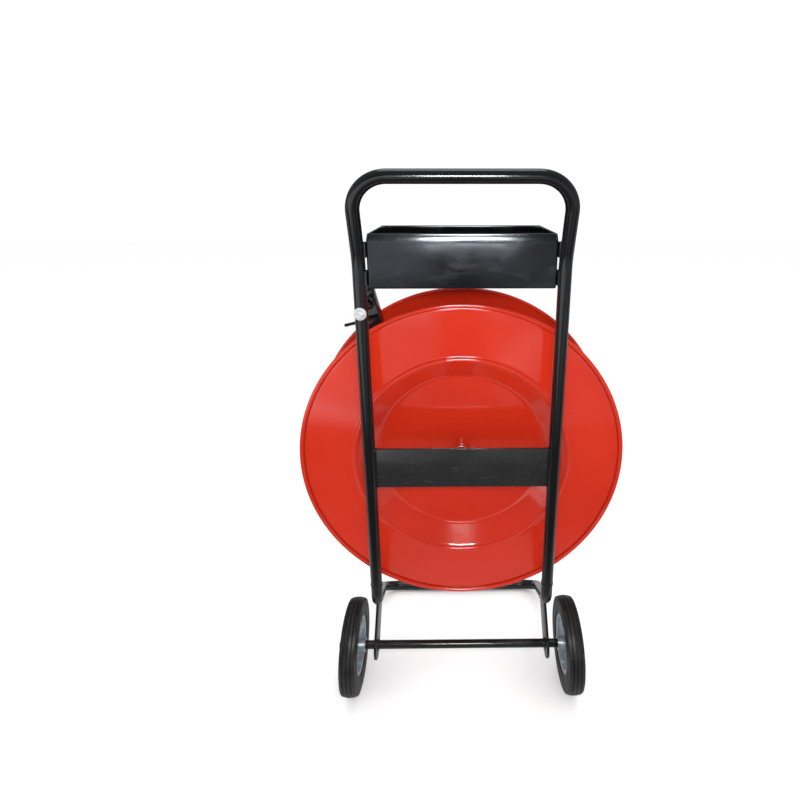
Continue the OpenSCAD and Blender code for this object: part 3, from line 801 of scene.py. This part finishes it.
def red_enamel():
    """Gloss red enamel on pressed steel: slow dents of the sheet, orange peel, drifting tone, fine rubs."""
    paint = Paint("red_enamel", Coat_Roughness=0.03, Specular_IOR_Level=0.5)
    peel = paint.noise(650.0, 2.0)
    wave = paint.noise(5.0, 1.5)
    tone = paint.noise(4.0, 3.0)
    handled = paint.noise(9.0, 3.0).band(0.5, 0.65)
    rub = paint.noise(180.0, 5.0, 0.7, (1.0, 1.0, 0.3)).band(0.64, 0.74) * handled
    colour = paint.mix(tone.band(0.3, 0.7), (0.43, 0.017, 0.005, 1), (0.48, 0.023, 0.008, 1))
    relief = paint.bump(wave, 0.0016, paint.bump(peel, 0.00002))
    return paint.set(Base_Color=paint.mix(rub * 0.25, colour, (0.50, 0.08, 0.05, 1)),
                     Roughness=tone * 0.05 + rub * 0.2 + 0.09, Coat_Weight=0.7 - rub * 0.3, Normal=relief)


RED = red_enamel()
section = disc_section()
rear = np.stack([section[:, 0], REAR_RIM + section[:, 1]], axis=1)
front = np.stack([section[:, 0], FRONT_RIM - section[:, 1]], axis=1)
for name, profile in (("rear", rear), ("front", front)):
    disc = lathe_mesh(name + "_pressed_disc", profile, HUB, OUT, RED, steps=360, crease=38)
    fixed(disc, "reel", "red_enamel", name + "_disc")

FLANGE_R = 55 * MM
FLANGE_T = 4 * MM
BORE_R = 13 * MM
hub_section = ring_section(BORE_R, HUB_R, HUB_LOW, HUB_HIGH, 0.6 * MM)
fixed(lathe_mesh("hub_sleeve", hub_section, HUB, OUT, RED), "reel", "red_enamel", "hub_tube")
for name, low in (("rear", REAR_FLOOR + SHEET), ("front", FRONT_FLOOR - SHEET - FLANGE_T)):
    flange = ring_section(HUB_R, FLANGE_R, low, low + FLANGE_T, 0.8 * MM)
    fixed(lathe_mesh(name + "_flange", flange, HUB, OUT, RED), "reel", "red_enamel", name + "_hub_flange")


def sintered_bronze():
    """Oil-soaked sintered bronze: dull brown-gold with open pores and darker oil marks."""
    paint = Paint("bronze", Metallic=1.0)
    pore = paint.noise(2200.0, 3.0)
    oil = paint.noise(90.0, 3.0)
    colour = paint.mix(oil.band(0.35, 0.7), (0.55, 0.36, 0.17, 1), (0.30, 0.19, 0.09, 1))
    return paint.set(Base_Color=colour, Roughness=pore * 0.3 + 0.3, Normal=paint.bump(pore, 0.00002))


BRONZE = sintered_bronze()
BUSH_LEN = 20 * MM
BUSH_FIT = 0.05 * MM
bushes = []
for i, low in enumerate((HUB_LOW, HUB_HIGH - BUSH_LEN)):
    bush_section = ring_section(SPINDLE_R + BUSH_FIT, BORE_R, low, low + BUSH_LEN)
    bushes.append(lathe_mesh(f"bush{i}", bush_section, HUB, OUT, BRONZE))
fixed(joined("spindle_bushes", bushes), "reel", "bronze", "hub_bushes")

BOLT_RING = 42 * MM
BOLT_COUNT = 4
M8_ACROSS = 13 * MM
M8_HEAD = 5.3 * MM
M8_NUT = 6.5 * MM
M8_R = 4 * MM
GRIP = 15.6 * MM
shank = rod_profile(M8_R, FRONT_FLOOR - GRIP, FRONT_FLOOR)
nut_low = FRONT_FLOOR - SHEET - FLANGE_T - M8_NUT
bolts, nuts = [], []
for i in range(BOLT_COUNT):
    angle = 2 * math.pi * (i + 0.5) / BOLT_COUNT
    centre = HUB + (ACROSS * math.cos(angle) + ALONG * math.sin(angle)) * BOLT_RING
    bolts.append(hex_mesh(f"head{i}", centre, OUT, M8_ACROSS, FRONT_FLOOR, FRONT_FLOOR + M8_HEAD, ZINC,
                          chamfer_both=False, spin=0.4 * i))
    bolts.append(lathe_mesh(f"shank{i}", shank, centre, OUT, ZINC, 32, closed=False))
    nuts.append(hex_mesh(f"nut{i}", centre, OUT, M8_ACROSS, nut_low, nut_low + M8_NUT, ZINC, spin=0.7 * i))
fixed(joined("flange_bolts", bolts), "reel", "zinc_hardware", "hub_bolts")
fixed(joined("flange_nuts", nuts), "reel", "zinc_hardware", "hub_nuts")

# --- Axle: a 16 mm bar through two plates that hang square from the legs. A washer stands on each side of
# each hub, and a split pin through the bar's end keeps the wheel on.

AXLE_R = 8 * MM
TRACK_HALF = 226.5 * MM
HUB_HALF = 20 * MM
AXLE_END = TRACK_HALF + HUB_HALF + 12 * MM
PIN_BACK = 5 * MM                                    # from the bar's end to its split pin
PLATE_T = 5 * MM
PLATE_R = 27 * MM

axle = lathe_mesh("axle_bar", rod_profile(AXLE_R, -AXLE_END, AXLE_END, 1.2 * MM), AXLE_CENTRE, ACROSS, ENAMEL,
                  closed=False)
fixed(axle, "frame", "black_enamel", "axle")

elbow = Vector(leaned(0, 0, ELBOW_UP).tolist())
leg_way = (Vector((0, foot_y, TUBE_R)) - elbow).normalized()
leg_up = Vector((0, -leg_way.z, leg_way.y))
to_leg = (elbow - AXLE_CENTRE).dot(leg_up)
plate_top = to_leg - TUBE_R * 0.75
foot_a = np.linspace(math.pi, 2 * math.pi, 28)


def on_plate(x, along, rise):
    """Points of a hanger plate: at x across the cart, along the leg's way from the axle and square to it."""
    along, rise = (np.asarray(value, float)[..., None] for value in (along, rise))
    return np.array(AXLE_CENTRE + ACROSS * x) + along * np.array(leg_way) + rise * np.array(leg_up)


for side, name in SIDES:
    x = float(np.mean([corner[0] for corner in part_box(name + "_axle_plate")]))
    along = np.append(PLATE_R * np.cos(foot_a), [PLATE_R, -PLATE_R])
    rise = np.append(PLATE_R * np.sin(foot_a), [plate_top, plate_top])
    rim = on_plate(x - PLATE_T / 2, along, rise)
    plate = plate_mesh(name + "_hanger_plate", rim, ACROSS, PLATE_T, ENAMEL)
    fixed(plate, "frame", "black_enamel", name + "_axle_plate")
    for face in (-1, 1):
        which = "o" if face == side else "i"
        wall = x + face * (PLATE_T / 2 + 0.3 * MM)
        ring = circle_route(AXLE_CENTRE + ACROSS * wall, ACROSS, AXLE_R + 1.0 * MM)
        weld_bead(f"{name}_axle_weld_{which}", ring, 1.9 * MM, face + side, ACROSS)
        seam = on_plate(wall, PLATE_R * np.linspace(-0.95, 0.95, 12), to_leg - TUBE_R * 0.93)
        weld_bead(f"{name}_leg_weld_{which}", seam, 2.2 * MM, face)

washers, pins = [], []
for side in (-1, 1):
    away = ACROSS * side
    for i, low in enumerate((TRACK_HALF - HUB_HALF - PLAY - WASHER_T, TRACK_HALF + HUB_HALF + PLAY)):
        washers.append(washer(f"aw{side}{i}", AXLE_CENTRE, away, AXLE_R, 13.5 * MM, low, low + WASHER_T))
    pin_at = AXLE_CENTRE + away * (AXLE_END - PIN_BACK)
    pins.append(split_pin(f"ap{side}", pin_at, (0, -1, 0), away, 1.6 * MM, 21 * MM))
fixed(joined("wheel_washers", washers), "frame", "zinc_hardware", "axle_washers")
fixed(joined("wheel_split_pins", pins), "frame", "zinc_hardware", "axle_split_pins")

# --- Wheels: solid rubber tyres on rims pressed in two halves, riveted back to back round a hub tube with
# two nylon bushes. The rims are zinc plated with a bluish tint.

WHEEL_R = 89 * MM
TYRE_HALF = 16.5 * MM
LIP_R = 55 * MM
SEAT_R = 48 * MM
RIM_T = 1.5 * MM
LIP_Z = 12 * MM
WHEEL_HUB_R = 12.5 * MM
BUSH_R = 10 * MM
NYLON_LEN = 12 * MM
RIVET_COUNT = 6
RIVET_RING = 28 * MM


def dome_head(radius, rise, low=0.0):
    """The outline of a domed rivet head from its edge almost to its top: a quarter of an ellipse."""
    return [(radius * math.cos(a), low + rise * math.sin(a)) for a in np.linspace(0, math.pi / 2, 7)[:-1]]


def tyre_section():
    """
    Radius and distance from the wheel's middle: the seat, a side wall that bulges by a sine, a shoulder, and
    a crown on a 42 mm radius cut by three round-bottomed grooves.
    """
    crown = 42 * MM
    z = np.linspace(-TYRE_HALF + 1.5 * MM, TYRE_HALF - 1.5 * MM, 181)
    r = WHEEL_R - crown + np.sqrt(crown ** 2 - z ** 2)
    for middle in (-8 * MM, 0.0, 8 * MM):
        r = r - 2.0 * MM * np.clip(1 - ((z - middle) / (1.5 * MM)) ** 2, 0, 1) ** 0.5
    tread = np.stack([r, z], axis=1)
    wall_r = np.linspace(tread[-1, 0] - 1.2 * MM, LIP_R + 2 * MM, 16)
    f = (wall_r - LIP_R) / (tread[-1, 0] - LIP_R)
    ridge = 0.6 * MM * np.exp(-((wall_r - 72 * MM) / (1.2 * MM)) ** 2)
    wall_z = TYRE_HALF - 1.2 * MM + 1.1 * MM * np.sin(math.pi * f) + ridge
    wall = np.stack([wall_r, wall_z], axis=1)
    edge = [(LIP_R, LIP_Z + RIM_T - 0.2 * MM), (LIP_R - 0.2 * MM, LIP_Z), (SEAT_R, LIP_Z)]
    upper = np.vstack([tread, wall, edge])
    lower = np.vstack([wall, edge])[::-1] * np.array([1, -1])
    return np.vstack([lower, upper])


def solid_rubber():
    """Black moulded rubber: matt, greyed by dust in patches, rubbed lighter at the tread, with fine pores."""
    paint = Paint("tyre_rubber", Specular_IOR_Level=0.45)
    pore = paint.noise(1400.0, 3.0)
    cloud = paint.noise(45.0, 4.0, 0.6)
    streak = paint.noise(160.0, 4.0, 0.6, (2.5, 0.5, 0.5))
    dust = cloud.band(0.42, 0.72) * 0.5 + streak.band(0.5, 0.8) * 0.4
    colour = paint.mix(dust * 0.55, (0.010, 0.010, 0.010, 1), (0.055, 0.054, 0.050, 1))
    relief = paint.bump(pore, 0.00004, paint.bump(streak, 0.00006))
    return paint.set(Base_Color=colour, Roughness=dust * 0.25 + 0.34, Normal=relief)


def rim_section():
    """
    One half rim: radius and distance from the middle, along the outside from the hub over the riveted flat,
    a rounded step to the seat and the lip's curl, then back by the sheet's thickness.
    """
    step = 5 * MM
    t = np.linspace(0, math.pi / 2, 7)
    barrel = SEAT_R - RIM_T
    outer = [(WHEEL_HUB_R, RIM_T), (WHEEL_HUB_R + 2 * MM, RIM_T), (30 * MM, RIM_T), (barrel - step, RIM_T)]
    outer += [(barrel - step + step * math.sin(b), RIM_T + step - step * math.cos(b)) for b in t]
    outer += [(barrel, LIP_Z - 1 * MM)]
    outer += [(barrel + 2 * MM - 2 * MM * math.cos(b), LIP_Z - 0.5 * MM + 2 * MM * math.sin(b)) for b in t]
    outer += [(LIP_R - 1.2 * MM, LIP_Z + RIM_T), (LIP_R - 0.3 * MM, LIP_Z + RIM_T - 0.4 * MM)]
    back = [(LIP_R - 0.2 * MM, LIP_Z + 0.2 * MM), (LIP_R - 1.2 * MM, LIP_Z), (SEAT_R, LIP_Z), (SEAT_R, step),
            (SEAT_R - 0.6 * MM, 1.2 * MM), (SEAT_R - 3 * MM, 0.0), (WHEEL_HUB_R, 0.0)]
    return np.array(outer + back)


def nylon():
    """Off-white nylon, slightly waxy, with grey wear near the axle."""
    paint = Paint("nylon", Subsurface_Weight=0.05)
    wear = paint.noise(300.0, 3.0)
    colour = paint.mix(wear.band(0.45, 0.75), (0.72, 0.71, 0.66, 1), (0.45, 0.44, 0.41, 1))
    return paint.set(Base_Color=colour, Roughness=wear * 0.2 + 0.35, Normal=paint.bump(wear, 0.00002))


RUBBER = solid_rubber()
RIM_ZINC = bright_zinc("zinc_rim", (0.56, 0.68, 0.74), (0.66, 0.74, 0.77), 0.2)
NYLON = nylon()
half_rim = rim_section()
hub_tube = ring_section(BUSH_R, WHEEL_HUB_R, -HUB_HALF, HUB_HALF, 0.5 * MM)
rivet_head = dome_head(5 * MM, 2 * MM, RIM_T)
rivet_profile = [(r, -z) for r, z in rivet_head[::-1]] + rivet_head
for side, name in SIDES:
    body = "wheel_" + name
    away = ACROSS * side
    middle = AXLE_CENTRE + away * TRACK_HALF
    fixed(lathe_mesh(name + "_solid_tyre", tyre_section(), middle, away, RUBBER, steps=144, crease=50), body,
          "tyre_rubber", name + "_tyre")
    for face, which in ((1, "outer"), (-1, "inner")):
        fixed(lathe_mesh(f"{name}_{which}_pressing", half_rim * np.array([1, face]), middle, away, RIM_ZINC,
                         steps=128, crease=35), body, "zinc_rim", f"{name}_{which}_rim")
    fixed(lathe_mesh(name + "_hub_tube", hub_tube, middle, away, RIM_ZINC), body, "zinc_rim", name + "_hub")
    bushes = []
    for i, low in enumerate((-HUB_HALF, HUB_HALF - NYLON_LEN)):
        bush_section = ring_section(AXLE_R + BUSH_FIT, BUSH_R, low, low + NYLON_LEN)
        bushes.append(lathe_mesh(f"nb{i}", bush_section, middle, away, NYLON))
    fixed(joined(name + "_nylon_bushes", bushes), body, "nylon", name + "_bushes")
    rivets = []
    for i in range(RIVET_COUNT):
        angle = 2 * math.pi * i / RIVET_COUNT
        spot = middle + Vector((0, math.cos(angle), math.sin(angle))) * RIVET_RING
        rivets.append(lathe_mesh(f"rv{i}", rivet_profile, spot, away, RIM_ZINC, 32, closed=False))
    fixed(joined(name + "_rivets", rivets), body, "zinc_rim", name + "_rim_rivets")

# --- Brake: an arm of angle section on a bolt through the left upright. A coil spring holds it against a stop
# peg with its lined shoe over the band, and the short rod on its side is pulled to free the band.

PIVOT = Vector(leaned(-RAIL_X, 0, 310 * MM).tolist())
ARM_OUT = 78 * MM
SLEEVE_LEN = 25 * MM
SLEEVE_R = 9 * MM
ARM_LEN = 140 * MM
ARM_TAIL = 30 * MM
ARM_X = 8 * MM
ARM_W = 34 * MM
ARM_T = 3 * MM
REST = math.radians(14)
ARM_DOWN = Vector((math.sin(REST), 0, 0)) - ALONG * math.cos(REST)      # from the pivot down along the arm
ARM_RIGHT = Vector((math.cos(REST), 0, 0)) + ALONG * math.sin(REST)
ARM_AT = PIVOT + OUT * (ARM_OUT + PLAY)


def on_arm(right, out, down):
    """A point of the arm's own frame, from the pivot: to its right, out along the pivot and down the arm."""
    right, out, down = (np.asarray(value, float)[..., None] for value in (right, out, down))
    return np.array(ARM_AT) + right * np.array(ARM_RIGHT) + out * np.array(OUT) + down * np.array(ARM_DOWN)


shank_end = ARM_OUT + 2 * PLAY + SLEEVE_LEN + WASHER_T
bolt = joined("arm_pivot_bolt", [
    lathe_mesh("shank", rod_profile(M8_R, -TUBE_R - 13 * MM, shank_end + 0.5 * MM), PIVOT, OUT, ZINC, 40,
               closed=False),
    hex_mesh("head", PIVOT, OUT, M8_ACROSS, shank_end, shank_end + 5.5 * MM, ZINC, False)])
fixed(bolt, "frame", "zinc_hardware", "pivot_bolt")
fixed(joined("arm_pivot_washers", [
    washer("pw1", PIVOT, OUT, M8_R, 10.75 * MM, -TUBE_R - WASHER_T, -TUBE_R),
    washer("pw2", PIVOT, OUT, M8_R, 9 * MM, shank_end - WASHER_T, shank_end)]),
    "frame", "zinc_hardware", "pivot_washers")
nut_high = -TUBE_R - WASHER_T
fixed(hex_mesh("arm_pivot_nut", PIVOT, OUT, 14 * MM, nut_high - 7 * MM, nut_high, ZINC, True, 0.35),
      "frame", "zinc_hardware", "pivot_nut")
fixed(lathe_mesh("arm_spacer", ring_section(M8_R, 7 * MM, TUBE_R * 0.8, ARM_OUT), PIVOT, OUT, ENAMEL),
      "frame", "black_enamel", "pivot_spacer")
weld_bead("spacer_weld", circle_route(PIVOT + OUT * (TUBE_R + 0.6 * MM), OUT, 7.6 * MM), 1.5 * MM, 0.2, OUT)
peg_at = PIVOT - ACROSS * 1.7 * MM + ALONG * 22 * MM
fixed(lathe_mesh("stop_peg", rod_profile(4 * MM, TUBE_R * 0.9, ARM_OUT + 12 * MM), peg_at, OUT, ENAMEL, 40,
                 closed=False), "frame", "black_enamel", "arm_stop")
weld_bead("peg_weld", circle_route(peg_at + OUT * (TUBE_R + 0.2 * MM), OUT, 4.6 * MM), 1.4 * MM, 0.9, OUT)

edge_x = ARM_X + ARM_T
inner_out = SLEEVE_LEN - ARM_T
angle_corners = [(edge_x, 0), (edge_x, SLEEVE_LEN), (edge_x - ARM_W, SLEEVE_LEN), (edge_x - ARM_W, inner_out),
                 (ARM_X, inner_out), (ARM_X, 0)]
angle_section = eased(angle_corners, 0.9 * MM, 3)


def bar_mesh(name, section_points, low, high, material):
    """
    A straight bar down the arm: the (right, out) section at each of a row of stations from low to high, drawn
    in a little towards its middle at both ends.
    """
    ease = 0.5 * MM
    down = np.array([low, low + ease, *np.linspace(low + 4 * MM, high - 4 * MM, 12), high - ease, high])
    scale = np.ones(len(down))
    scale[[0, -1]] = 0.985
    middle = section_points.mean(axis=0)
    flat = middle + (section_points - middle) * scale[:, None, None]
    points = on_arm(flat[..., 0], flat[..., 1], down[:, None])
    return sheet_mesh(name, points, material, crease=35)


fixed(bar_mesh("angle_arm", angle_section, -ARM_TAIL, ARM_LEN, ENAMEL), "brake", "black_enamel", "brake_arm")
sleeve_section = ring_section(M8_R + BUSH_FIT, SLEEVE_R, 0, SLEEVE_LEN, 0.5 * MM)
fixed(lathe_mesh("pivot_sleeve", sleeve_section, ARM_AT, OUT, ENAMEL, 64),
      "brake", "black_enamel", "arm_sleeve")


def shoe_lining():
    """Moulded brake lining: dark brown, matt, flecked with lighter chips."""
    paint = Paint("lining")
    fleck = paint.noise(900.0, 3.0, 0.7).band(0.6, 0.68)
    cloud = paint.noise(80.0, 3.0)
    brown = paint.mix(cloud, (0.035, 0.028, 0.022, 1), (0.06, 0.05, 0.04, 1))
    return paint.set(Base_Color=paint.mix(fleck * 0.6, brown, (0.20, 0.15, 0.10, 1)),
                     Roughness=cloud * 0.15 + 0.75, Normal=paint.bump(fleck, 0.0001))


SHOE_LEN = 44 * MM
SHOE_T = 12 * MM
shoe_section = ring_section(edge_x, edge_x + SHOE_T, 0, inner_out, 1.2 * MM)
fixed(bar_mesh("lined_shoe", shoe_section, ARM_LEN - SHOE_LEN, ARM_LEN, shoe_lining()),
      "brake", "lining", "brake_shoe")
head = [(4 * MM, -0.3 * MM)] + dome_head(4 * MM, 2 * MM)
rivet_heads = []
for i, f in enumerate((0.25, 0.75)):
    spot = on_arm(ARM_X, inner_out / 2, ARM_LEN - SHOE_LEN * f)
    rivet_heads.append(lathe_mesh(f"sr{i}", head, spot, -ARM_RIGHT, ZINC, 32, closed=False))
fixed(joined("shoe_rivet_heads", rivet_heads), "brake", "zinc_hardware", "shoe_rivets")

ROD_R = 3 * MM
ROD_LEN = 71 * MM
ROD_DOWN = 35.5 * MM
rod_at = on_arm(ARM_X + 2 * MM, SLEEVE_LEN / 2, ROD_DOWN)
pull_rod = lathe_mesh("pull_rod", rod_profile(ROD_R, 1.5 * MM, ROD_LEN), rod_at, -ARM_RIGHT, ENAMEL, 40,
                      closed=False)
fixed(pull_rod, "brake", "black_enamel", "release_rod")


def spring_wire():
    """Drawn spring wire: grey metal with fine lengthwise lines and a brown tint where oil has dried."""
    paint = Paint("spring_steel", Metallic=1.0)
    line = paint.noise(1800.0, 2.0)
    oil = paint.noise(120.0, 3.0)
    colour = paint.mix(oil.band(0.4, 0.7), (0.07, 0.07, 0.075, 1), (0.05, 0.04, 0.032, 1))
    return paint.set(Base_Color=colour, Roughness=line * 0.15 + 0.25, Normal=paint.bump(line, 0.00001))


COIL_TURNS = 4
COIL_R = 10.5 * MM
COIL_LEN = 14 * MM
WIRE_R = 1.2 * MM
a = np.linspace(0, 2 * math.pi * COIL_TURNS, 160)[:, None]
ring = COIL_R * (np.cos(a) * np.array(ACROSS) + np.sin(a) * np.array(ALONG))
coil = np.array(PIVOT) + ring + (ARM_OUT - 18 * MM + COIL_LEN * a / a[-1]) * np.array(OUT)
fixed(tube_mesh("coil_spring", coil, WIRE_R, spring_wire(), sides=14, side_way=OUT), "frame", "spring_steel",
      "brake_spring")
